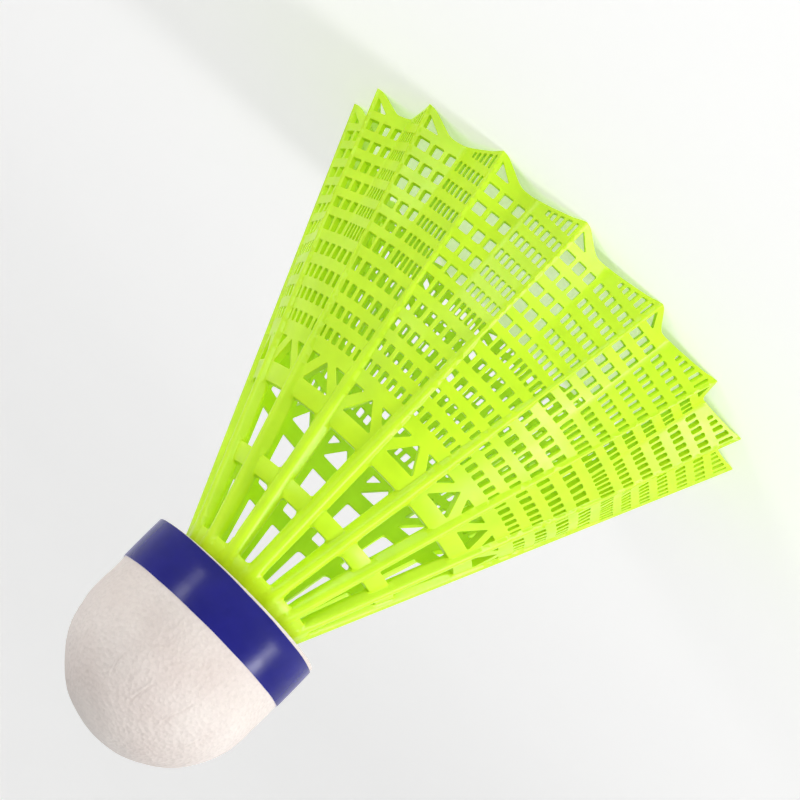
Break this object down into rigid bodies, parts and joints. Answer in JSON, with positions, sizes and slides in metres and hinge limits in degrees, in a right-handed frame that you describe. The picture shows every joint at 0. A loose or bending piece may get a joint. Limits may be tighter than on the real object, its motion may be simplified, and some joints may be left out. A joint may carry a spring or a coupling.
{
  "type": "badminton shuttlecock",
  "caption": "Moulded nylon skirt with ribs, hoops, truss and pleated lattice vane, plugged into a leather-covered cork dome with a dark rim band.",
  "frame": {"origin": "centre of the circle on which the skirt's points stand", "axes": "+Z along the axis from the open end to the cork; +X through one rib"},
  "size_m": [0.0662, 0.0662, 0.0786],
  "materials": {
    "skirt_nylon": "satin, slightly translucent fluorescent yellow-green",
    "cork": "natural cork",
    "pressed_cork": "pressed granulated cork",
    "glue": "clear set adhesive",
    "cover_leather": "fine-grained off-white",
    "band_tape": "satin dark blue tape"
  },
  "bodies": {
    "root": {"skirt_ribs": "skirt_nylon", "skirt_collar": "skirt_nylon", "skirt_lower_hoop": "skirt_nylon", "skirt_truss_hoop": "skirt_nylon", "skirt_vanes": "skirt_nylon", "cork_dome": "cork", "cork_base": "pressed_cork", "plug_glue": "glue", "cork_cover": "cover_leather", "rim_band": "band_tape"}
  },
  "joints": []
}
